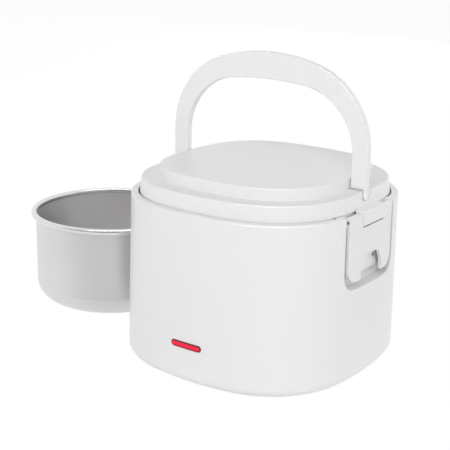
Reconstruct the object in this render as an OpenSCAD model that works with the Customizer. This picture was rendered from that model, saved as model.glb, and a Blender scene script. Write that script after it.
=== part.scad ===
// Electric lunch box: a squarish white housing with a round heating well, a lift-off
// two-step lid with a folding carry handle and a latch on each side, and a steel food bowl.
// Millimetres, +Z up. The front with the lamp faces -Y. The origin is at the middle of
// the box on the surface it stands on; the bowl stands beside the box.

/* [Body] */
// Width of the box across the rim
body_w = 164; // [150:0.5:180]
// Extra depth, as a straight run in the middle of each side
extra_depth = 8.4; // [0:0.2:20]
// Height of the rim above the table
rim_z = 113; // [100:0.5:125]
// How much wider each side is at the foot than at the rim
flare = 1.9; // [0:0.1:4]
// How square the outline is as seen from above; larger is squarer
squareness = 0.78; // [0.7:0.01:0.9]
// Thickness of the plastic walls
wall = 2.4; // [1.8:0.1:3]
// Width of the flat band round the rim
rim_band = 4.6; // [3.6:0.1:6]

/* [Lid] */
// Height of the step above the rim
ledge_rise = 10.4; // [8:0.1:14]
// Height of the raised middle above the rim
top_rise = 18; // [15:0.1:24]
// Distance of the lid's skirt from the outer edge of the box
skirt_inset = 5.8; // [5.2:0.1:6]
// Distance of the step's upper edge from the outer edge of the box
ledge_inset = 7; // [6.4:0.1:8]
// Distance of the raised middle from the outer edge of the box
panel_inset = 17.6; // [17.4:0.1:20]
// How much shorter the raised middle is from front to back
panel_short = 4; // [0:0.2:6]

/* [Handle] */
// Width of each leg of the handle, seen from the front
leg_w = 11; // [8:0.2:12]
// Gap between each leg and the raised middle of the lid
leg_gap = 0.8; // [0.6:0.1:1.2]
// Height of the top of the handle above the table
handle_top = 204.8; // [195:0.2:215]
// Thickness of the handle from front to back
handle_t = 5.5; // [5:0.1:6]
// Height of the handle's pivot
pivot_z = 126.5; // [126.3:0.1:127]
// Height of the rounded tips of the handle's feet, outside the step
tip_z = 117.5; // [117:0.1:119]

/* [Latches] */
// Half width of the latch flap
flap_half = 28.3; // [27:0.1:29]
// Half width of the pocket round the flap
pocket_half = 31.9; // [31:0.1:33]
// Height of the lower end of the pocket
pocket_z = 64.4; // [63:0.1:66]
// Depth of the pocket behind the flap
pocket_d = 3.6; // [3.4:0.1:3.8]
// Depth of the finger scoop below the flap
scoop_d = 8.4; // [6:0.2:9]
// Height of the flap's pin
latch_z = 109.4; // [109:0.1:109.6]

/* [Bowl] */
// Outer radius of the bowl's wall
bowl_r = 59.2; // [58:0.1:59.4]
// Height of the bowl
bowl_h = 70; // [66:0.5:70]
// Where the bowl stands, to the left of the box
bowl_x = -150; // [-160:0.5:-149]
// Where the bowl stands, towards the back
bowl_y = 14; // [0:1:40]
// Radius of the bowl's lower edge
bowl_foot = 15; // [8:0.5:18]

/* [Hidden] */
$fn = 96;
half_w = body_w / 2;
foot_z = 1.2;
// the face arcs and the corner arcs meet on lines that rise 24 in 143
face_radius = half_w + 119 * squareness;
corner_radius = half_w - 26 * squareness;
arm = 119 * squareness;
cx = 24 * squareness;
well_r = 61;
deck_z = 102;
pan_z = 34.4;
// middle of the front and the back, across the rim
deep = half_w + extra_depth / 2;
latch_x = half_w - 3.4;
scoop_z = pocket_z + 8;
panel_x = half_w - panel_inset;
// inner face of the thin tips below the handle's feet
tip_x = panel_x + leg_gap + leg_w - 1.3;
inlet_z = 20;
inlet_y = deep + 1.2;
lamp_z = 27.2;
// places of the base's screws and feet
screw_x = half_w - 30;
screw_y = half_w - 26;
foot_x = half_w - 22;
foot_y = half_w - 44;

// How far the outer face of the housing lies outside the rim outline at height z
function bulge(z) = flare * (1 - z / rim_z);

// ---- the squarish outline ----

// Sweeps a profile, given as distance outside the rim outline and height, round the box
module ring(run = extra_depth) {
  for (s = [0, 1])
    mirror([0, s, 0])
      translate([0, run / 2, 0])
        half_ring()
          children();
  for (s = [0, 1])
    mirror([s, 0, 0])
      translate([half_w, run / 2, 0])
        rotate([90, 0, 0])
          linear_extrude(run)
            children();
}

module half_ring() {
  for (s = [0, 1])
    mirror([s, 0, 0]) {
      translate([-arm, 0, 0])
        arc_part(face_radius, 90, [[0, 0], [286, 0], [286, 48]])
          children();
      translate([cx, cx, 0])
        arc_part(corner_radius, 90, [[0, 0], [143, 24], [143, 143], [24, 143]])
          children();
    }
  translate([0, -arm, 0])
    arc_part(face_radius, 180, [[0, 0], [48, 286], [-48, 286]])
      children();
}

// A profile turned about the arc's centre and kept only inside a wedge
module arc_part(r, turn, wedge) {
  intersection() {
    rotate_extrude(angle = turn, $fn = 300)
      translate([r, 0])
        children();
    translate([0, 0, -20])
      linear_extrude(260)
        polygon(wedge);
  }
}

// The filled outline, o outside the rim outline
module plan(o = 0, run = extra_depth) {
  for (s = [0, 1])
    mirror([0, s])
      translate([0, run / 2])
        half_plan(o);
  square([2 * (half_w + o), run], center = true);
}

module half_plan(o) {
  for (s = [0, 1])
    mirror([s, 0]) {
      intersection() {
        translate([-arm, 0])
          circle(face_radius + o, $fn = 300);
        translate([-arm, 0])
          polygon([[0, 0], [286, 0], [286, 48]]);
        square([200, 200]);
      }
      translate([cx, cx])
        circle(corner_radius + o, $fn = 200);
    }
  intersection() {
    translate([0, -arm])
      circle(face_radius + o, $fn = 300);
    translate([0, -arm])
      polygon([[0, 0], [48, 286], [-48, 286]]);
    translate([-100, 0])
      square([200, 200]);
  }
}

module plate(o, z0, z1, run = extra_depth) {
  translate([0, 0, z0])
    linear_extrude(z1 - z0)
      plan(o, run);
}

module rod(r, z0, z1) {
  translate([0, 0, z0])
    cylinder(r = r, h = z1 - z0);
}

module tube(ro, ri, z0, z1) {
  difference() {
    rod(ro, z0, z1);
    rod(ri, z0 - 1, z1 + 1);
  }
}

// A block between two opposite corners
module block(a, b) {
  translate(a)
    cube(b - a);
}

// A rod along X
module rod_x(r, x0, x1, y, z) {
  translate([x0, y, z])
    rotate([0, 90, 0])
      cylinder(r = r, h = x1 - x0);
}

// A rod along Y
module rod_y(r, y0, y1, x, z) {
  translate([x, y0, z])
    rotate([-90, 0, 0])
      cylinder(r = r, h = y1 - y0);
}

module both_sides() {
  children();
  mirror([1, 0, 0])
    children();
}

module mirrored_corners() {
  for (a = [0, 1], b = [0, 1])
    mirror([a, 0, 0])
      mirror([0, b, 0])
        children();
}

module four_corners(x, y) {
  for (sx = [-1, 1], sy = [-1, 1])
    translate([sx * x, sy * y, 0])
      children();
}

// ---- the housing ----

// Section of the housing as a solid slab, with the foot and the rim rounded
module body_slab(inner, z0, z1) {
  low = foot_z + 6;
  top = rim_z - 1.4;
  intersection() {
    union() {
      polygon([
        [inner, foot_z], [bulge(low) - 6, foot_z], [bulge(low) - 6, low],
        [bulge(low), low], [bulge(top), top], [bulge(top) - 1.4, top],
        [bulge(top) - 1.4, rim_z], [inner, rim_z]
      ]);
      translate([bulge(low) - 6, low])
        circle(6, $fn = 64);
      translate([bulge(top) - 1.4, top])
        circle(1.4, $fn = 32);
    }
    translate([inner, z0])
      square([20, z1 - z0]);
  }
}

module wall_section() {
  difference() {
    body_slab(-14, foot_z, rim_z);
    polygon([
      [-20, foot_z + wall], [bulge(foot_z) - wall - 4, foot_z + wall],
      [bulge(8) - wall, 8], [-wall, rim_z - wall], [-20, rim_z - wall]
    ]);
    translate([-20, rim_z - 5])
      square([20 - rim_band, 10]);
    translate([-20, 0])
      square([11, 5]);
  }
}

// Outline of a latch pocket as seen from the side: square at the top, round corners below
module pocket_outline(half, bottom, r) {
  translate([-half, bottom + r])
    square([2 * half, 80]);
  translate([-half + r, bottom])
    square([2 * (half - r), 80]);
  for (s = [-1, 1])
    translate([s * (half - r), bottom + r])
      circle(r);
}

// A side view outline, cut through from x0 to x1 on the right side
module side_prism(x0, x1) {
  translate([x0, 0, 0])
    rotate([90, 0, 90])
      linear_extrude(x1 - x0)
        children();
}

module pocket_shell() {
  intersection() {
    side_prism(half_w - 20, half_w + 8)
      intersection() {
        pocket_outline(pocket_half + 2, pocket_z - 2.4, 12);
        translate([-40, 0])
          square([80, rim_z]);
      }
    ring()
      body_slab(-pocket_d - 2.4, pocket_z - 9, rim_z);
  }
  // deeper parts behind the hinge and the finger scoop
  for (p = [[half_w - 20, pocket_z - 2.4, scoop_z + 2], [half_w - 9.6, latch_z - 7.4, rim_z]])
    intersection() {
      side_prism(p[0], half_w + 8)
        intersection() {
          pocket_outline(pocket_half + 2, pocket_z - 2.4, 12);
          translate([-40, p[1]])
            square([80, p[2] - p[1]]);
        }
      ring()
        body_slab(-scoop_d - 2.4, pocket_z - 9, rim_z);
    }
}

module pocket_cut() {
  intersection() {
    side_prism(half_w - 22, half_w + 13)
      pocket_outline(pocket_half, pocket_z, 10.5);
    ring()
      polygon([
        [-pocket_d, scoop_z], [-scoop_d, scoop_z - 2], [-scoop_d, pocket_z + 2],
        [-scoop_d + 2, pocket_z - 0.2], [9, pocket_z - 0.2], [9, 160], [-pocket_d, 160]
      ]);
  }
  // room for the knuckle
  intersection() {
    block([half_w - 7.3, -flap_half - 0.5, 104.6], [half_w + 13, flap_half + 0.5, 130]);
    union() {
      rod_y(3.9, -40, 40, latch_x, latch_z);
      block([half_w - 7.3, -40, latch_z], [half_w + 13, 40, 130]);
    }
  }
}

module outer_housing() {
  color("#f0efed")
    difference() {
      union() {
        ring()
          wall_section();
        both_sides()
          pocket_shell();
        // catch bars that the latch hooks snap under
        both_sides()
          catch_bar();
        // flat seat behind the mains socket
        intersection() {
          ring()
            body_slab(-7, 4, 40);
          block([-19, inlet_y - 27.4, 5], [19, inlet_y + 7.6, 35]);
        }
        // bosses for the screws of the base
        mirrored_corners() {
          translate([screw_x, screw_y, 0])
            rod(4.2, foot_z + wall + 0.2, 22);
          translate([screw_x, screw_y, 0])
            rotate([0, 0, 45])
              block([2, -1, 6], [14.6, 1, 20]);
        }
      }
      both_sides()
        pocket_cut();
      // keyhole under each catch bar
      both_sides()
        for (y = [-10.3, 10.3]) {
          rod_x(2.2, half_w - 12, half_w + 4, y, 79.8);
          block([half_w - 4.6, y - 1.5, 73.4], [half_w + 4, y + 1.5, 80]);
        }
      mirrored_corners()
        translate([screw_x, screw_y, 0])
          rod(1.3, 0, 19);
      // window for the lamp
      lamp_pill(11.75, 2.25, deep + 8.8, deep - 16.2);
      // opening and shallow recess for the mains socket
      block([-13.7, inlet_y - 17.4, inlet_z - 10], [13.7, inlet_y + 12.6, inlet_z + 10]);
      block([-16.4, inlet_y - 1.7, inlet_z - 12.9], [16.4, inlet_y + 12.6, inlet_z + 12.9]);
      for (s = [-1, 1])
        rod_y(1.2, inlet_y - 9.4, inlet_y + 2.6, s * 15.0, inlet_z);
    }
}

module catch_bar() {
  for (y = [-10.3, 10.3])
    translate([0, y + 4.5, 0])
      rotate([90, 0, 0])
        linear_extrude(9)
          polygon([
            [half_w - 5, 89.2], [half_w - 3, 89.2], [half_w - 3, 89.9],
            [half_w - 3.8, 91.2], [half_w - 5, 91.2]
          ]);
}

module base_cover() {
  color("#dddbd7")
    difference() {
      union() {
        plate(-9.4, foot_z, foot_z + wall);
        // stiffening rings
        tube(34, 32.4, foot_z + 1, 9);
        tube(58, 56.4, foot_z + 1, 7);
      }
      four_corners(screw_x, screw_y) {
        rod(1.7, 0, 10);
        rod(3.3, 0, foot_z + 1.2);
      }
      four_corners(foot_x, foot_y)
        rod(7.1, 0, foot_z + 0.8);
      // rows of cooling slots
      for (i = [-3:3])
        block([-22, i * 7 - 1.2, 0], [22, i * 7 + 1.2, 6]);
    }
}

module rubber_feet() {
  color("#4a4a4c")
    four_corners(foot_x, foot_y)
      difference() {
        union() {
          rod(6.1, 0, 0.9);
          rod(7.1, 0.9, foot_z + 0.8);
        }
        rod(3.2, -1, 0.5);
      }
}

module base_screws() {
  color("#9a9ca0")
    four_corners(screw_x, screw_y)
      difference() {
        union() {
          rod(3.1, foot_z - 0.2, foot_z + 1.2);
          rod(1.3, foot_z + 1, 14);
        }
        block([-2.2, -0.4, 0], [2.2, 0.4, foot_z + 0.5]);
        block([-0.4, -2.2, 0], [0.4, 2.2, foot_z + 0.5]);
      }
}

// ---- the heating well ----

module liner_section() {
  polygon([
    [-4.4, 109.8], [-2.8, 109.8], [-2.8, deck_z - 3.6], [-4.4, deck_z - 3.6]
  ]);
  translate([-11, deck_z - 2])
    square([8, 2]);
}

module well_liner() {
  color("#e8e7e4")
    difference() {
      union() {
        ring()
          liner_section();
        plate(-9, deck_z - 2, deck_z);
        rod(well_r + 1.8, pan_z - 1.8, deck_z - 1);
        rod(well_r + 4.2, deck_z - 4, deck_z - 1);
      }
      rod(well_r, pan_z, deck_z + 1);
      rod(56, pan_z - 4, pan_z + 1);
      // rounded lead-in at the mouth
      translate([0, 0, deck_z - 1.2])
        cylinder(r1 = well_r, r2 = well_r + 1.4, h = 1.4);
      both_sides()
        block([half_w - 10.1, -36.6, 90], [half_w + 8, 36.6, 120]);
    }
}

module insulation_sleeve() {
  color("#c9c2ae")
    tube(well_r + 6.3, well_r + 2.1, 44, deck_z - 5);
}

module heating_plate() {
  color("#b4b6ba")
    difference() {
      rotate_extrude()
        difference() {
          union() {
            square([60.7, 1.8]);
            translate([59.9, 0.9])
              square([0.8, 7.4]);
          }
          translate([60.3, -1])
            square([1, 1]);
        }
      // pressed rings in the plate
      for (r = [24, 40])
        tube(r + 1, r - 1, 1.4, 3);
    }
}

module at_pan() {
  translate([0, 0, pan_z])
    children();
}

module heater_element() {
  color("#6d675e")
    difference() {
      union() {
        tube(50, 18, pan_z - 2.6, pan_z);
        for (s = [-1, 1])
          block([s * 22 - 3, -49.4, pan_z - 2], [s * 22 + 3, -40, pan_z - 1.2]);
      }
      for (a = [0:90:270])
        rotate([0, 0, a + 45])
          translate([34, 0, 0])
            rod(2.4, 20, 40);
    }
}

module heater_clamp() {
  color("#a3a5a8")
    difference() {
      union() {
        tube(46, 16, pan_z - 4, pan_z - 2.6);
        for (a = [0:90:270])
          rotate([0, 0, a + 45])
            translate([34, 0, 0])
              rod(2.4, pan_z - 3.5, pan_z);
      }
      for (a = [0:90:270])
        rotate([0, 0, a + 45])
          translate([34, 0, 0])
            rod(1.5, 20, 40);
      for (a = [0:90:270])
        rotate([0, 0, a])
          block([24, -5, 20], [40, 5, 40]);
    }
}

module clamp_nuts() {
  color("#c2a35a")
    for (a = [0:90:270])
      rotate([0, 0, a + 45])
        translate([34, 0, 0]) {
          translate([0, 0, pan_z - 6.6])
            cylinder(r = 3.2, h = 2.6, $fn = 6);
          rod(1.5, pan_z - 8.6, pan_z);
        }
}

module thermostat() {
  color("#2b2b2e")
    difference() {
      union() {
        rod(8.6, pan_z - 12, pan_z - 3.4);
        rod(7.6, pan_z - 3.4, pan_z);
        rod(11.6, pan_z - 4.6, pan_z - 3.4);
        for (s = [-1, 1])
          block([s * 6 - 3.1, -0.4, pan_z - 17], [s * 6 + 3.1, 0.4, pan_z - 11]);
      }
      for (s = [-1, 1])
        rod_y(0.8, -3, 3, s * 6, pan_z - 14.6);
    }
}

module thermal_fuse() {
  color("#d8d2c4")
    translate([0, 38, pan_z - 6.1])
      rotate([0, 90, 0]) {
        translate([0, 0, -6])
          cylinder(r = 2.1, h = 12);
        translate([0, 0, -16])
          cylinder(r = 0.6, h = 32);
      }
}

// ---- mains socket ----

module socket_outline(w, h, c) {
  polygon([
    [-w / 2, -h / 2], [w / 2, -h / 2], [w / 2, h / 2 - c],
    [w / 2 - c, h / 2], [-w / 2 + c, h / 2], [-w / 2, h / 2 - c]
  ]);
}

// Draws a rear view outline as a bar from y0 to y1
module rear_prism(y0, y1) {
  translate([0, y1, inlet_z])
    rotate([90, 0, 0])
      linear_extrude(y1 - y0)
        children();
}

module power_inlet() {
  color("#232325")
    difference() {
      union() {
        rear_prism(inlet_y - 1.6, inlet_y)
          square([32.4, 25.4], center = true);
        rear_prism(inlet_y - 20.4, inlet_y - 1)
          square([27, 19.6], center = true);
      }
      rear_prism(inlet_y - 16.5, inlet_y + 1)
        socket_outline(24.4, 17, 5);
      for (x = [-7, 7])
        block([x - 1, inlet_y - 27.4, inlet_z - 4], [x + 1, inlet_y - 7.4, inlet_z]);
      block([-1, inlet_y - 27.4, inlet_z], [1, inlet_y - 7.4, inlet_z + 4]);
      for (s = [-1, 1])
        rod_y(1.3, inlet_y - 3, inlet_y + 1, s * 15.0, inlet_z);
    }
}

module inlet_pins() {
  color("#c9b26a")
    for (p = [[-7, -4], [7, -4], [0, 0]])
      translate([p[0], 0, inlet_z + p[1]])
        difference() {
          block([-1, inlet_y - 28.4, 0], [1, inlet_y - 3, 4]);
          rod_x(0.7, -2, 2, inlet_y - 25.8, 2);
        }
}

module inlet_screws() {
  color("#8f9195")
    for (s = [-1, 1]) {
      rod_y(1.2, inlet_y - 7.9, inlet_y, s * 15.0, inlet_z);
      rod_y(1.9, inlet_y, inlet_y + 0.9, s * 15.0, inlet_z);
    }
}

module lead(x, y0, y1, z, up) {
  rod_y(1.2, y0, y1, x, z);
  translate([x, y0, z])
    sphere(1.2);
  translate([x, y0, z])
    cylinder(r = 1.2, h = up);
}

module supply_leads() {
  color("#b8402f")
    lead(-7, 30, inlet_y - 28.5, inlet_z - 2, 9.4);
  color("#2f5fa8")
    lead(7, 6, inlet_y - 28.5, inlet_z - 2, 3);
  color("#7aa03a")
    lead(0, 44, inlet_y - 28.5, inlet_z + 2, 7.8);
}

// ---- lamp ----

// A pill-shaped bar through the front wall, from y1 to y0 in front of the middle
module lamp_pill(half, r, y1, y0) {
  translate([0, -y0, lamp_z])
    rotate([90, 0, 0])
      linear_extrude(y1 - y0) {
        square([2 * (half - r), 2 * r], center = true);
        for (s = [-1, 1])
          translate([s * (half - r), 0])
            circle(r);
      }
}

module indicator_lens() {
  color("#d5173f")
    union() {
      intersection() {
        lamp_pill(11.6, 2.1, deep + 8.8, deep - 3.2);
        ring()
          translate([-3.6, 20])
            square([3.6 + bulge(lamp_z) + 0.35, 14]);
      }
      lamp_pill(13, 3.4, deep - 1.7, deep - 3.2);
    }
}

module indicator_lamp() {
  color("#f0c9a0")
    rod_x(2.2, -6, 6, 5.8 - deep, lamp_z);
}

module lamp_holder() {
  color("#d9d8d4")
    difference() {
      union() {
        block([-15, 3.2 - deep, lamp_z - 4.4], [15, 4.6 - deep, lamp_z + 4.4]);
        for (s = [-1, 1])
          block([s * 9.5 - 2.6, 4.2 - deep, lamp_z - 3.4], [s * 9.5 + 2.6, 8.8 - deep, lamp_z + 3.4]);
      }
      block([-6.2, 2.2 - deep, lamp_z - 2.6], [6.2, 6.2 - deep, lamp_z + 2.6]);
    }
}

// ---- the lid ----

ledge_z = rim_z + ledge_rise;
top_z = rim_z + top_rise;

// Skirt, outer wall and roof of the step
module ledge_section() {
  difference() {
    union() {
      polygon([
        [-24, 107.2], [-skirt_inset, 107.2], [-skirt_inset, rim_z + 0.4],
        [-ledge_inset + 0.1, ledge_z - 1.2], [-ledge_inset - 1.1, ledge_z - 1.2],
        [-ledge_inset - 1.1, ledge_z], [-24, ledge_z]
      ]);
      translate([-ledge_inset - 1.1, ledge_z - 1.2])
        circle(1.2, $fn = 48);
    }
    polygon([
      [-40, 100], [-skirt_inset - 2.1, 100], [-skirt_inset - 2.1, rim_z + 1],
      [-ledge_inset - 2.2, ledge_z - 2.2],
      [-40, ledge_z - 2.2]
    ]);
  }
}

// Wall and edge of the raised middle
module panel_section() {
  polygon([
    [-panel_inset - 2.2, ledge_z - 1], [-panel_inset, ledge_z - 1],
    [-panel_inset, top_z - 1.2], [-panel_inset - 1.2, top_z - 1.2],
    [-panel_inset - 1.2, top_z], [-panel_inset - 4, top_z],
    [-panel_inset - 4, top_z - 2.2], [-panel_inset - 2.2, top_z - 2.2]
  ]);
  translate([-panel_inset - 1.2, top_z - 1.2])
    circle(1.2, $fn = 48);
}

// The ear that reaches over the rim and carries a latch
module latch_ear() {
  translate([0, 13.7, 0])
    rotate([90, 0, 0])
      linear_extrude(27.4)
        difference() {
          union() {
            intersection() {
              translate([latch_x, latch_z])
                circle(6.2);
              translate([latch_x + 0.4, latch_z - 8])
                square([4.2, 8]);
            }
            translate([latch_x, latch_z])
              circle(3.2);
            polygon([
              [latch_x - 3.8, 113.4], [latch_x - 2.4, 113.4], [latch_x - 2.4, latch_z],
              [latch_x + 4.6, latch_z], [latch_x + 4.6, 113.2],
              [latch_x + 3.6, 114.2], [latch_x - 3.8, 115.2]
            ]);
          }
        }
}

module lid_shell() {
  color("#efeeec")
    difference() {
      union() {
        difference() {
          union() {
            ring()
              ledge_section();
            ring(extra_depth - panel_short)
              panel_section();
            plate(-panel_inset - 3, top_z - 2.2, top_z, extra_depth - panel_short);
          }
          // the skirt stops short of the latch pockets
          both_sides()
            block([half_w - 11.1, -36.4, 100], [half_w + 13, 36.4, rim_z + 0.3]);
        }
        both_sides()
          latch_ear();
        both_sides()
          lid_side_inner();
        // bosses for the inner plate's screws
        four_corners(32, 34)
          tube(3.6, 1.2, 111.2, top_z - 1);
      }
      both_sides() {
        // shallow hollow in the step's wall that the handle's tips swing in
        rod_x(pivot_z - tip_z + 0.4, tip_x - 0.4, half_w + 13, 0, pivot_z);
        // bores for the handle and latch pins
        rod_x(1.5, 50, panel_x + 1, 0, pivot_z);
        rod_y(1.2, -20, 20, latch_x, latch_z);
      }
    }
}

module lid_side_inner() {
  // wall and roof inside the latch pocket
  block([half_w - 13.2, -38, 111.4], [half_w - 11.1, 38, ledge_z - 1]);
  intersection() {
    plate(-6.4, rim_z + 0.3, rim_z + 2.3);
    block([half_w - 13, -38, 110], [half_w + 8, 38, 120]);
  }
  // thicker wall behind the hollow for the handle's tip
  block([tip_x - 3.9, -11, 114.4], [tip_x - 0.4, 11, ledge_z - 1]);
  // boss for the handle pin
  rod_x(4.2, panel_x - 7.9, panel_x - 1, 0, pivot_z);
}

module lid_inner_plate() {
  color("#e3e2df")
    difference() {
      union() {
        plate(-7.9, 109.2, 111.2);
        tube(52, 50.4, 106.6, 110);
        tube(60.8, 59.4, 106.6, 110);
      }
      both_sides()
        block([half_w - 13.5, -38.4, 100], [half_w + 8, 38.4, 120]);
      four_corners(32, 34) {
        rod(1.5, 100, 120);
        rod(3, 100, 110.2);
      }
    }
}

module lid_gasket() {
  color("#b9bcc0")
    rotate_extrude()
      difference() {
        union() {
          translate([52.2, 105.6])
            square([7, 3.6]);
          translate([55.7, 105.6])
            circle(1.6);
        }
        translate([54.5, 107.2])
          square([2.4, 3]);
      }
}

module lid_foam() {
  color("#e9e4d4")
    difference() {
      plate(-24, 111.4, ledge_z - 2.6);
      four_corners(32, 34)
        rod(3.9, 100, 130);
    }
}

module lid_screws() {
  color("#9a9ca0")
    four_corners(32, 34)
      difference() {
        union() {
          rod(2.8, 108.8, 110.2);
          rod(1.2, 110, 119);
        }
        block([-2, -0.35, 108], [2, 0.35, 109.4]);
        block([-0.35, -2, 108], [0.35, 2, 109.4]);
      }
}

// ---- the handle ----

in_x = panel_x + leg_gap;
out_x = in_x + leg_w;
in_top = handle_top - 17.7;
edge_r = 0.8;

// Each arch is [half width, top, corner radius, crown radius, rise and run of the line
// on which the corner arc meets the crown arc, height of the corner's centre]
outer_arch = [out_x, handle_top, out_x - 21, out_x + 54, 140, 480, handle_top - out_x + 18];
inner_arch = [in_x, in_top, in_x - 23.68, in_x + 166.5, 64, 510, in_top - in_x + 22.2];

// An arch, filled down to height z0
module arch(a, z0) {
  intersection() {
    union() {
      translate([-a[0], z0])
        square([2 * a[0], a[6] - z0]);
      for (s = [-1, 1])
        translate([s * (a[0] - a[2]), a[6]])
          circle(a[2], $fn = 200);
      intersection() {
        translate([0, a[1] - a[3]])
          circle(a[3], $fn = 300);
        translate([0, a[1] - a[3]])
          polygon([[0, 0], [a[4], a[5]], [-a[4], a[5]]]);
      }
    }
    translate([-100, z0])
      square([200, 200]);
  }
}

// What a rounded edge takes away, on an outer (s = 1) or an inner (s = -1) edge
module edge_section(r, s) {
  translate([r, handle_t / 2])
    difference() {
      translate([s > 0 ? -edge_r : -1, -edge_r])
        square([edge_r + 1, edge_r + 1]);
      translate([-s * edge_r, -edge_r])
        circle(edge_r, $fn = 48);
    }
}

module edge_cut(a, z0, s) {
  translate([0, a[1] - a[3], 0])
    intersection() {
      rotate_extrude(angle = 180, $fn = 300)
        edge_section(a[3], s);
      linear_extrude(20)
        polygon([[0, 0], [a[4], a[5]], [-a[4], a[5]]]);
    }
  for (k = [0, 1])
    mirror([k, 0, 0]) {
      translate([a[0] - a[2], a[6], 0])
        intersection() {
          rotate_extrude(angle = 90, $fn = 200)
            edge_section(a[2], s);
          linear_extrude(20)
            polygon([[0, 0], [600, 0], [600, a[5]], [a[4], a[5]]]);
        }
      translate([0, a[6], 0])
        rotate([90, 0, 0])
          linear_extrude(a[6] - z0)
            edge_section(a[0], s);
    }
}

module handle() {
  foot = handle_t / 2;
  color("#f1f0ee")
    difference() {
      rotate([90, 0, 0])
        difference() {
          translate([0, 0, -foot])
            linear_extrude(handle_t)
              difference() {
                arch(outer_arch, tip_z);
                arch(inner_arch, tip_z - 1);
              }
          for (k = [0, 1])
            mirror([0, 0, k]) {
              edge_cut(outer_arch, tip_z - 1, 1);
              edge_cut(inner_arch, tip_z - 1, -1);
            }
        }
      both_sides() {
        // the foot ends just above the step, with a thin tip outside the step's wall
        difference() {
          block([in_x - 1, -5, tip_z - 2], [tip_x, 5, pivot_z]);
          rod_x(foot, in_x - 2, out_x + 2, 0, pivot_z);
        }
        difference() {
          block([in_x - 1, -5, tip_z - 2], [out_x + 1, 5, tip_z + foot]);
          rod_x(foot, in_x - 2, out_x + 2, 0, tip_z + foot);
        }
        rod_x(1.55, in_x - 1, out_x - 2.8, 0, pivot_z);
      }
    }
}

module handle_pins() {
  color("#c6c8cb")
    both_sides()
      rod_x(1.5, panel_x - 7.9, out_x - 3.2, 0, pivot_z);
}

// ---- the latches ----

module flap_outline() {
  intersection() {
    pocket_outline(flap_half, 69.4, 9);
    translate([-40, 0])
      square([80, latch_z + 3.2]);
  }
}

module finger_notch() {
  polygon([
    [-14.6, 60], [14.6, 60], [14.2, 69.4], [13.2, 76.5], [9.6, 82.6], [6.2, 84.9],
    [-6.2, 84.9], [-9.6, 82.6], [-13.2, 76.5], [-14.2, 69.4]
  ]);
}

module latch() {
  difference() {
    union() {
      intersection() {
        side_prism(half_w - 12, half_w + 8)
          difference() {
            flap_outline();
            finger_notch();
          }
        ring()
          polygon([
            [bulge(60) - 2.1, 60], [bulge(60), 60],
            [bulge(latch_z), latch_z], [bulge(latch_z) - 2.1, latch_z]
          ]);
      }
      intersection() {
        rod_y(3.2, -flap_half, flap_half, latch_x, latch_z);
        ring()
          polygon([[-14, 100], [bulge(100), 100], [bulge(112.9), 112.9], [-14, 112.9]]);
      }
      // hooks behind the flap
      for (y = [-10.3, 10.3])
        translate([0, y + 4, 0])
          rotate([90, 0, 0])
            linear_extrude(8)
              polygon([
                [half_w - 0.8, 88.7], [half_w - 2.6, 88.7], [half_w - 2.6, 88.1],
                [half_w - 2, 86.6], [half_w - 0.8, 86.6]
              ]);
    }
    // room for the lid's ear
    rod_y(6.7, -14, 14, latch_x, latch_z);
    rod_y(1.25, -40, 40, latch_x, latch_z);
  }
}

module latch_right() {
  color("#ecebe9")
    latch();
}

module latch_left() {
  color("#ecebe9")
    mirror([1, 0, 0])
      latch();
}

module latch_pins() {
  color("#c6c8cb")
    both_sides()
      rod_y(1.2, -20.5, 20.5, latch_x, latch_z);
}

// ---- the bowl ----

module food_bowl() {
  rim_r = 2.2;
  t = 0.9;
  color("#c9c7c4")
    translate([bowl_x, bowl_y, 0])
      rotate_extrude()
        union() {
          // base, foot radius and wall
          difference() {
            union() {
              square([bowl_r - bowl_foot, bowl_h - rim_r]);
              translate([0, bowl_foot])
                square([bowl_r, bowl_h - rim_r - bowl_foot]);
              translate([bowl_r - bowl_foot, bowl_foot])
                circle(bowl_foot);
            }
            union() {
              translate([-1, t])
                square([bowl_r - bowl_foot + 1, bowl_h]);
              translate([-1, bowl_foot])
                square([bowl_r - t + 1, bowl_h]);
              translate([bowl_r - bowl_foot, bowl_foot])
                circle(bowl_foot - t);
            }
            translate([-20, -1])
              square([20, 90]);
          }
          // rolled rim
          difference() {
            translate([bowl_r + 1.4, bowl_h - rim_r])
              circle(rim_r);
            translate([bowl_r + 1.4, bowl_h - rim_r])
              circle(rim_r - 0.8);
          }
        }
}

outer_housing();
base_cover();
rubber_feet();
base_screws();
well_liner();
insulation_sleeve();
at_pan() heating_plate();
heater_element();
heater_clamp();
clamp_nuts();
thermostat();
thermal_fuse();
power_inlet();
inlet_pins();
inlet_screws();
supply_leads();
indicator_lens();
indicator_lamp();
lamp_holder();
lid_shell();
lid_inner_plate();
lid_gasket();
lid_foam();
lid_screws();
handle();
handle_pins();
latch_right();
latch_left();
latch_pins();
food_bowl();
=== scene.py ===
import bpy, math
from mathutils import Vector, Matrix, Quaternion


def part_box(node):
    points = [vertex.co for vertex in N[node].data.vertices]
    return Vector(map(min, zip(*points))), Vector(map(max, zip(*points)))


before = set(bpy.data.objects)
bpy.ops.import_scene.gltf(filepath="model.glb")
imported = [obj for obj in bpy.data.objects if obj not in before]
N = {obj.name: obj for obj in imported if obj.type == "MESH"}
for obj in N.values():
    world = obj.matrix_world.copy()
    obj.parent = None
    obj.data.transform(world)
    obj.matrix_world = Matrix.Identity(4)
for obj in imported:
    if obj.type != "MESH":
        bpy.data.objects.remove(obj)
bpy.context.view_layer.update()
scene = bpy.context.scene


# ---------- node helpers ----------

def new_mat(name):
    m = bpy.data.materials.new(name)
    m.use_nodes = True
    nt = m.node_tree
    return m, nt, nt.nodes["Principled BSDF"]


def link(nt, a, b):
    nt.links.new(a, b)


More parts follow.
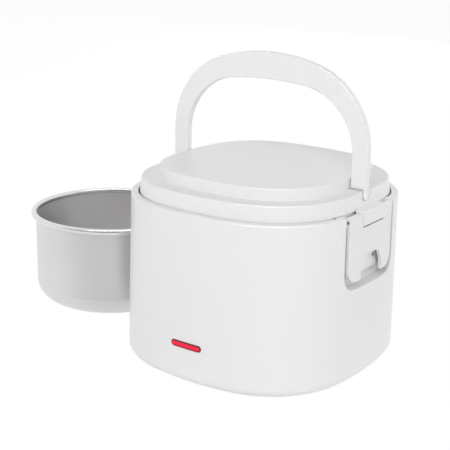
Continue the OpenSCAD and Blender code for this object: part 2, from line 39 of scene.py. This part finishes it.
def coords(nt, scale=(1, 1, 1)):
    """The surface's own coordinates in metres, stretched by a scale."""
    tc = nt.nodes.new("ShaderNodeTexCoord")
    mp = nt.nodes.new("ShaderNodeMapping")
    mp.inputs["Scale"].default_value = scale
    link(nt, tc.outputs["Object"], mp.inputs["Vector"])
    return mp.outputs["Vector"]


def noise(nt, vec, scale, detail=4.0, rough=0.55):
    n = nt.nodes.new("ShaderNodeTexNoise")
    n.inputs["Scale"].default_value = scale
    n.inputs["Detail"].default_value = detail
    n.inputs["Roughness"].default_value = rough
    link(nt, vec, n.inputs["Vector"])
    return n.outputs["Fac"]


def ramp(nt, fac, stops):
    """A colour for a number: each stop is a place from 0 to 1 and its colour."""
    r = nt.nodes.new("ShaderNodeValToRGB")
    el = r.color_ramp.elements
    while len(el) < len(stops):
        el.new(0.5)
    for e, (place, colour) in zip(el, stops):
        e.position = place
        e.color = (*colour, 1.0)
    link(nt, fac, r.inputs["Fac"])
    return r.outputs["Color"]


def map_range(nt, fac, a, b, c, d):
    """The range a to b becomes c to d."""
    n = nt.nodes.new("ShaderNodeMapRange")
    for k, v in zip(("From Min", "From Max", "To Min", "To Max"), (a, b, c, d)):
        n.inputs[k].default_value = v
    link(nt, fac, n.inputs["Value"])
    return n.outputs["Result"]


def spread(nt, fac, low, high):
    """Noise lies mostly between 0.3 and 0.7, which becomes low to high."""
    return map_range(nt, fac, 0.3, 0.7, low, high)


def bump(nt, height, strength, dist, normal=None):
    b = nt.nodes.new("ShaderNodeBump")
    b.inputs["Strength"].default_value = strength
    b.inputs["Distance"].default_value = dist
    link(nt, height, b.inputs["Height"])
    if normal is not None:
        link(nt, normal, b.inputs["Normal"])
    return b.outputs["Normal"]


def fill(nt, node, values):
    """Puts numbers, tuples or links into a node's inputs, in order."""
    for sock, v in zip(node.inputs, values):
        if isinstance(v, (int, float, tuple)):
            sock.default_value = v
        else:
            link(nt, v, sock)


def math_node(nt, op, *values):
    n = nt.nodes.new("ShaderNodeMath")
    n.operation = op
    fill(nt, n, values)
    return n.outputs[0]


def vec_node(nt, op, *values):
    """The result is a number for a length or a dot product, and a vector otherwise."""
    n = nt.nodes.new("ShaderNodeVectorMath")
    n.operation = op
    fill(nt, n, values)
    return n.outputs["Value" if op in ("LENGTH", "DOT_PRODUCT") else "Vector"]


def split(nt, vec):
    n = nt.nodes.new("ShaderNodeSeparateXYZ")
    link(nt, vec, n.inputs[0])
    return n.outputs


def mul(c, k):
    return tuple(min(1.0, v * k) for v in c)


def cloudy(nt, base, scale, detail, down, up):
    """The base colour, a little darker here and lighter there."""
    return ramp(nt, noise(nt, coords(nt), scale, detail),
                [(0.3, mul(base, 1 - down)), (0.7, mul(base, 1 + up))])


# ---------- materials ----------

def plastic(name, base, rough=0.38, grain=0.02, grain_scale=1400, vary=0.007):
    """Moulded plastic: faint mottling in colour and gloss, and a fine orange-peel skin."""
    m, nt, b = new_mat(name)
    v = coords(nt)
    link(nt, cloudy(nt, base, 18, 3, vary, vary * 0.6), b.inputs["Base Color"])
    gloss = spread(nt, noise(nt, v, 60, 5), rough - 0.02, rough + 0.02)
    link(nt, gloss, b.inputs["Roughness"])
    peel = bump(nt, noise(nt, v, grain_scale * 0.18, 2, 0.4), 0.015, 0.0004)
    skin = bump(nt, noise(nt, v, grain_scale, 3, 0.5), grain, 0.0001, peel)
    link(nt, skin, b.inputs["Normal"])
    return m


def metal(name, base, rough, streak, streak_amt=0.08, bump_amt=0.04, tint=0.05):
    """Metal brushed along one direction, with a slight change of colour over the sheet."""
    m, nt, b = new_mat(name)
    lines = noise(nt, coords(nt, streak), 1.0, 6, 0.6)
    link(nt, cloudy(nt, base, 14, 3, tint, tint), b.inputs["Base Color"])
    gloss = spread(nt, lines, rough - streak_amt, rough + streak_amt)
    link(nt, gloss, b.inputs["Roughness"])
    link(nt, bump(nt, lines, bump_amt, 0.0002), b.inputs["Normal"])
    b.inputs["Metallic"].default_value = 1.0
    return m


def turned(name, base, rough, pitch=2600, centre=(0, 0), polished=None):
    """Metal with the rings of a lathe or a spinning tool round a vertical axis.

    Across the two heights in polished it turns from the brushed wall to a smoother rim."""
    m, nt, b = new_mat(name)
    tc = nt.nodes.new("ShaderNodeTexCoord")
    from_axis = vec_node(nt, "SUBTRACT", tc.outputs["Object"], (*centre, 0))
    radius = vec_node(nt, "LENGTH", vec_node(nt, "MULTIPLY", from_axis, (1, 1, 0)))
    height = split(nt, from_axis)["Z"]
    ring = nt.nodes.new("ShaderNodeCombineXYZ")
    link(nt, radius, ring.inputs["X"])
    link(nt, height, ring.inputs["Z"])
    lines = noise(nt, ring.outputs[0], pitch, 4, 0.6)
    link(nt, cloudy(nt, base, 14, 3, 0.05, 0.03), b.inputs["Base Color"])
    gloss = spread(nt, lines, rough - 0.06, rough + 0.08)
    if polished:
        gloss = math_node(nt, "MULTIPLY", gloss, map_range(nt, height, *polished, 1.0, 0.5))
    link(nt, gloss, b.inputs["Roughness"])
    link(nt, bump(nt, lines, 0.10, 0.0002), b.inputs["Normal"])
    b.inputs["Metallic"].default_value = 1.0
    # the rings spread what the metal mirrors up and down
    tangent = nt.nodes.new("ShaderNodeTangent")
    tangent.direction_type = "RADIAL"
    tangent.axis = "Z"
    link(nt, tangent.outputs[0], b.inputs["Tangent"])
    b.inputs["Anisotropic"].default_value = 0.8
    b.inputs["Anisotropic Rotation"].default_value = 0.25
    return m


def soft(name, base, rough, scale, strength, dist, vary=0.08):
    """Rubber, felt, foam or ceramic: matte, with a visible fine structure."""
    m, nt, b = new_mat(name)
    v = coords(nt)
    link(nt, cloudy(nt, base, 60, 5, vary, vary), b.inputs["Base Color"])
    gloss = spread(nt, noise(nt, v, 200, 3), rough - 0.08, min(1, rough + 0.08))
    link(nt, gloss, b.inputs["Roughness"])
    link(nt, bump(nt, noise(nt, v, scale, 5, 0.65), strength, dist), b.inputs["Normal"])
    b.inputs["Specular IOR Level"].default_value = 0.3
    return m


def painted_glow_lens_mat():
    """Clear red pill with painted light: a painted glow, brightest along its middle, and painted
    shade, darker towards the rim.
    """
    m, nt, b = new_mat("red_lens_painted_glow")
    low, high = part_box("indicator_lens")
    mid_z = (low[2] + high[2]) / 2
    straight = 0.0095   # half the length of the pill's straight part, in metres
    radius = 0.0021     # of its round ends, and half its height
    tc = nt.nodes.new("ShaderNodeTexCoord")
    at = split(nt, tc.outputs["Object"])
    along = math_node(nt, "SUBTRACT", math_node(nt, "ABSOLUTE", at["X"]), straight)
    place = nt.nodes.new("ShaderNodeCombineXYZ")
    link(nt, math_node(nt, "MAXIMUM", along, 0.0), place.inputs["X"])
    link(nt, math_node(nt, "SUBTRACT", at["Z"], mid_z), place.inputs["Y"])
    # where the painted glow fades into painted shade: 0 on the middle line, 1 at the rim, with a
    # slight waver
    out = math_node(nt, "DIVIDE", vec_node(nt, "LENGTH", place.outputs[0]), radius)
    wobble = math_node(nt, "MULTIPLY", noise(nt, coords(nt), 260, 2), 0.25)
    t = math_node(nt, "ADD", out, math_node(nt, "SUBTRACT", wobble, 0.125))
    # painted glow in bright red along the middle, painted shade in dark red at the rim
    red = ramp(nt, t, [(0.1, (0.88, 0.004, 0.05)), (0.5, (0.62, 0.0, 0.016)),
                       (0.86, (0.13, 0.0, 0.003))])
    link(nt, red, b.inputs["Base Color"])
    # painted glow: the lens itself emits these colours, though it is no lamp
    link(nt, red, b.inputs["Emission Color"])
    b.inputs["Emission Strength"].default_value = 0.22
    link(nt, bump(nt, noise(nt, coords(nt), 500, 2), 0.05, 0.0003), b.inputs["Normal"])
    b.inputs["Roughness"].default_value = 0.2
    b.inputs["Specular IOR Level"].default_value = 0.3
    b.inputs["Coat Weight"].default_value = 0.15
    b.inputs["Coat Roughness"].default_value = 0.05
    return m


def neon_mat():
    """The lamp's glass bulb, faintly orange."""
    m, nt, b = new_mat("neon_glass")
    tint = ramp(nt, noise(nt, coords(nt), 300, 2),
                [(0.3, (0.85, 0.55, 0.40)), (0.7, (0.95, 0.72, 0.55))])
    link(nt, tint, b.inputs["Base Color"])
    b.inputs["Roughness"].default_value = 0.08
    b.inputs["Transmission Weight"].default_value = 0.6
    return m


WHITE = (0.83, 0.83, 0.828)
BOWL_AXIS = (-0.150, 0.014)         # x and y of the bowl's middle, in metres
BOWL_POLISH = (0.0645, 0.0665)      # heights between which its brushed wall meets the rim

# The whites' roughness varies between 0.28 and 0.33. Where it crossed about 0.27, the
# renderer's denoiser drew blotches.
M = {
    "white": plastic("white_housing_plastic", WHITE, 0.30),
    "white_lid": plastic("white_lid_plastic", WHITE, 0.30),
    "white_handle": plastic("white_handle_plastic", mul(WHITE, 1.01), 0.30),
    "white_latch": plastic("white_latch_plastic", mul(WHITE, 0.99), 0.31),
    "base": plastic("base_plastic", (0.60, 0.59, 0.57), 0.55, 0.35, 1100, 0.04),
    "liner": plastic("liner_plastic", (0.76, 0.755, 0.74), 0.45, 0.10, 1200, 0.03),
    "lid_inner": plastic("lid_inner_plastic", (0.75, 0.745, 0.735), 0.42, 0.08, 1200, 0.03),
    "black": plastic("black_socket_plastic", (0.022, 0.022, 0.024), 0.42, 0.2, 1500, 0.15),
    "dark": plastic("thermostat_resin", (0.035, 0.032, 0.032), 0.5, 0.2, 1800, 0.2),
    "holder": plastic("lamp_holder_plastic", (0.7, 0.7, 0.68), 0.5),
    "rubber": soft("foot_rubber", (0.05, 0.05, 0.052), 0.8, 1600, 0.3, 0.0003),
    "silicone": soft("gasket_silicone", (0.55, 0.56, 0.57), 0.55, 900, 0.12, 0.0003, 0.04),
    "felt": soft("sleeve_felt", (0.62, 0.57, 0.46), 0.95, 700, 0.9, 0.0012, 0.15),
    "foam": soft("lid_foam", (0.78, 0.75, 0.64), 0.95, 1500, 0.8, 0.001, 0.08),
    "mica": soft("mica_sheet", (0.30, 0.26, 0.21), 0.6, 500, 0.3, 0.0003, 0.2),
    "fuse": soft("fuse_ceramic", (0.75, 0.72, 0.65), 0.6, 1200, 0.2, 0.0002, 0.05),
    "leads": soft("silicone_leads", (0.50, 0.12, 0.06), 0.5, 1200, 0.15, 0.0002, 0.1),
    "pan": turned("spun_aluminium", (0.72, 0.725, 0.735), 0.34),
    "bowl": turned("bowl_steel", (0.74, 0.735, 0.742), 0.42, 1800, BOWL_AXIS, BOWL_POLISH),
    "clamp": metal("clamp_steel", (0.55, 0.56, 0.57), 0.37, (4, 900, 4)),
    "screw": metal("plated_screws", (0.6, 0.605, 0.615), 0.34, (200, 200, 200), 0.06, 0.03),
    "pin": metal("ground_pins", (0.66, 0.665, 0.67), 0.2, (900, 900, 900), 0.05, 0.02),
    "brass": metal("brass_parts", (0.78, 0.62, 0.30), 0.34, (300, 300, 300), 0.06, 0.03, 0.06),
    "lens": painted_glow_lens_mat(),
    "neon": neon_mat(),
}

LOOK = {
    "outer_housing": "white", "lid_shell": "white_lid", "handle": "white_handle",
    "latch_right": "white_latch", "latch_left": "white_latch", "base_cover": "base",
    "rubber_feet": "rubber", "base_screws": "screw", "lid_screws": "screw",
    "inlet_screws": "screw", "well_liner": "liner", "insulation_sleeve": "felt",
    "heating_plate": "pan", "heater_element": "mica", "heater_clamp": "clamp",
    "clamp_nuts": "brass", "thermostat": "dark", "thermal_fuse": "fuse",
    "power_inlet": "black", "inlet_pins": "brass", "supply_leads": "leads",
    "indicator_lens": "lens", "indicator_lamp": "neon", "lamp_holder": "holder",
    "lid_inner_plate": "lid_inner", "lid_gasket": "silicone", "lid_foam": "foam",
    "handle_pins": "pin", "latch_pins": "pin", "food_bowl": "bowl",
}


def dress(o, mat):
    if not o.data.materials:
        o.data.materials.append(mat)
    for slot in o.material_slots:
        slot.material = mat


for node, key in LOOK.items():
    dress(N[node], M[key])

# ---------- room ----------

WORLD_LOW = 0.68        # light from all round, near the horizon
WORLD_HIGH = 0.31       # and from overhead
FLOOR_SIDE = 12         # metres
FLOOR_WHITE = 1.065     # how bright the floor's own white is, where 1 is white
FLOOR_OWN = 0.86        # how much of it is its own, so that its shadow stays soft
CAMERA_SIDE = (0.54, -0.84, 0.0)    # the direction from the part in which the camera stands
DIM_ROOM = (0.25, 0.21, 0.22)       # what is mirrored from there, against white elsewhere


def seen_directly(nt):
    """1 for what the camera, a mirror or clear plastic shows; 0 for light that falls on things."""
    rays = nt.nodes.new("ShaderNodeLightPath").outputs
    out = math_node(nt, "MAXIMUM", rays["Is Camera Ray"], rays["Is Glossy Ray"])
    return math_node(nt, "MAXIMUM", out, rays["Is Transmission Ray"])


def make_floor():
    """A white floor that keeps the part's shadow."""
    bpy.ops.mesh.primitive_plane_add(size=FLOOR_SIDE, location=(0, 0, 0))
    f = bpy.context.object
    f.name = "floor"
    m, nt, b = new_mat("floor_white")
    b.inputs["Base Color"].default_value = (0.9, 0.9, 0.9, 1)
    b.inputs["Roughness"].default_value = 0.9
    b.inputs["Specular IOR Level"].default_value = 0.1
    glow = nt.nodes.new("ShaderNodeEmission")
    glow.inputs["Color"].default_value = (1, 1, 1, 1)
    glow.inputs["Strength"].default_value = FLOOR_WHITE
    mix = nt.nodes.new("ShaderNodeMixShader")
    fill(nt, mix, (math_node(nt, "MULTIPLY", seen_directly(nt), FLOOR_OWN),
                   b.outputs[0], glow.outputs[0]))
    link(nt, mix.outputs[0], nt.nodes["Material Output"].inputs["Surface"])
    dress(f, m)


def make_world():
    """White where it is seen, and an even soft light on the part."""
    w = bpy.data.worlds.new("studio")
    scene.world = w
    w.use_nodes = True
    nt = w.node_tree
    bg = nt.nodes["Background"]
    toward = nt.nodes.new("ShaderNodeTexCoord").outputs["Generated"]
    overhead = map_range(nt, split(nt, toward)["Z"], 0.1, 0.9, WORLD_LOW, WORLD_HIGH)
    mix = nt.nodes.new("ShaderNodeMix")
    link(nt, seen_directly(nt), mix.inputs["Factor"])
    link(nt, overhead, mix.inputs["A"])
    mix.inputs["B"].default_value = 1.0
    link(nt, mix.outputs["Result"], bg.inputs["Strength"])
    # what stands behind the camera, which shows mostly in the metal
    behind = map_range(nt, vec_node(nt, "DOT_PRODUCT", toward, CAMERA_SIDE), 0.2, 0.95, 0.0, 1.0)
    mirrored = nt.nodes.new("ShaderNodeLightPath").outputs["Is Glossy Ray"]
    link(nt, ramp(nt, math_node(nt, "MULTIPLY", behind, mirrored),
                  [(0.0, (1, 1, 1)), (1.0, DIM_ROOM)]), bg.inputs["Color"])


# ---------- lamps ----------

def area(name, loc, target, size, power, glossy_only=False, turn=0.0):
    """A soft lamp. Either it lights the scene and isn't mirrored in it, or the other way round."""
    d = bpy.data.lights.new(name, "AREA")
    d.shape = "RECTANGLE"
    d.size, d.size_y = size
    d.energy = power
    o = bpy.data.objects.new(name, d)
    scene.collection.objects.link(o)
    o.location = loc
    o.rotation_mode = "QUATERNION"
    aim = (Vector(target) - Vector(loc)).to_track_quat("-Z", "Y")
    o.rotation_quaternion = Quaternion((0, 0, 1), turn) @ aim
    o.visible_glossy = glossy_only
    o.visible_diffuse = not glossy_only
    return o


def only_on(lamp, name, nodes):
    """The lamp shows on these nodes alone."""
    group = bpy.data.collections.new(name)
    for n in nodes:
        group.objects.link(N[n])
    lamp.light_linking.receiver_collection = group


def make_lamps():
    middle = (0, 0, 0.08)
    # name, place, width and height, watts
    for name, loc, size, power in (
            ("key", (0.5, -1.35, 1.2), (1.1, 0.8), 13.9),
            ("side", (1.7, 0.1, 0.6), (1.2, 1.0), 4.1),
            ("left", (-1.4, -0.7, 0.6), (1.0, 0.8), 2.3),
            ("back", (0.2, 1.75, 0.45), (2.4, 0.6), 11)):
        area(name, loc, middle, size, power)
    # two long bright ones draw a thin line of light on the rounded edges of the plastic
    # and on the rim of the bowl
    edges = area("edges", (0.36, -0.56, 1.2), (0, 0, 0.1), (1.8, 0.28), 26, True)
    only_on(edges, "plastics",
            ("outer_housing", "lid_shell", "handle", "latch_right", "latch_left"))
    rim = area("rim", (0.1, -0.4, 1.3), (-0.15, 0, 0.07), (1.6, 0.28), 3.5, True, 0.57)
    only_on(rim, "steel", ("food_bowl",))


# ---------- camera ----------

def make_camera():
    """The camera that was fitted to the photograph. Its place is in half widths of the box."""
    half_width = 0.082
    azimuth, distance, height = 0.5708, 8.218, 3.477    # round the box, level and up
    yaw, pitch, roll = 0.0403, 0.2871, 0.0224
    focal_px, frame_px, sensor_mm = 1026.1562, 450, 36
    heading = azimuth + yaw
    forward = Vector((-math.sin(heading) * math.cos(pitch),
                      math.cos(heading) * math.cos(pitch), -math.sin(pitch)))
    level = Vector((math.cos(heading), math.sin(heading), 0))
    upward = level.cross(forward)
    right = math.cos(roll) * level + math.sin(roll) * upward
    up = -math.sin(roll) * level + math.cos(roll) * upward
    c = bpy.data.cameras.new("camera")
    o = bpy.data.objects.new("camera", c)
    scene.collection.objects.link(o)
    m = Matrix((right, up, -forward)).transposed().to_4x4()
    m.translation = half_width * Vector(
        (math.sin(azimuth) * distance, -math.cos(azimuth) * distance, height))
    o.matrix_world = m
    c.sensor_width = sensor_mm
    c.lens = sensor_mm * focal_px / frame_px
    scene.camera = o


make_floor()
make_world()
make_lamps()
make_camera()
scene.view_settings.view_transform = "Standard"
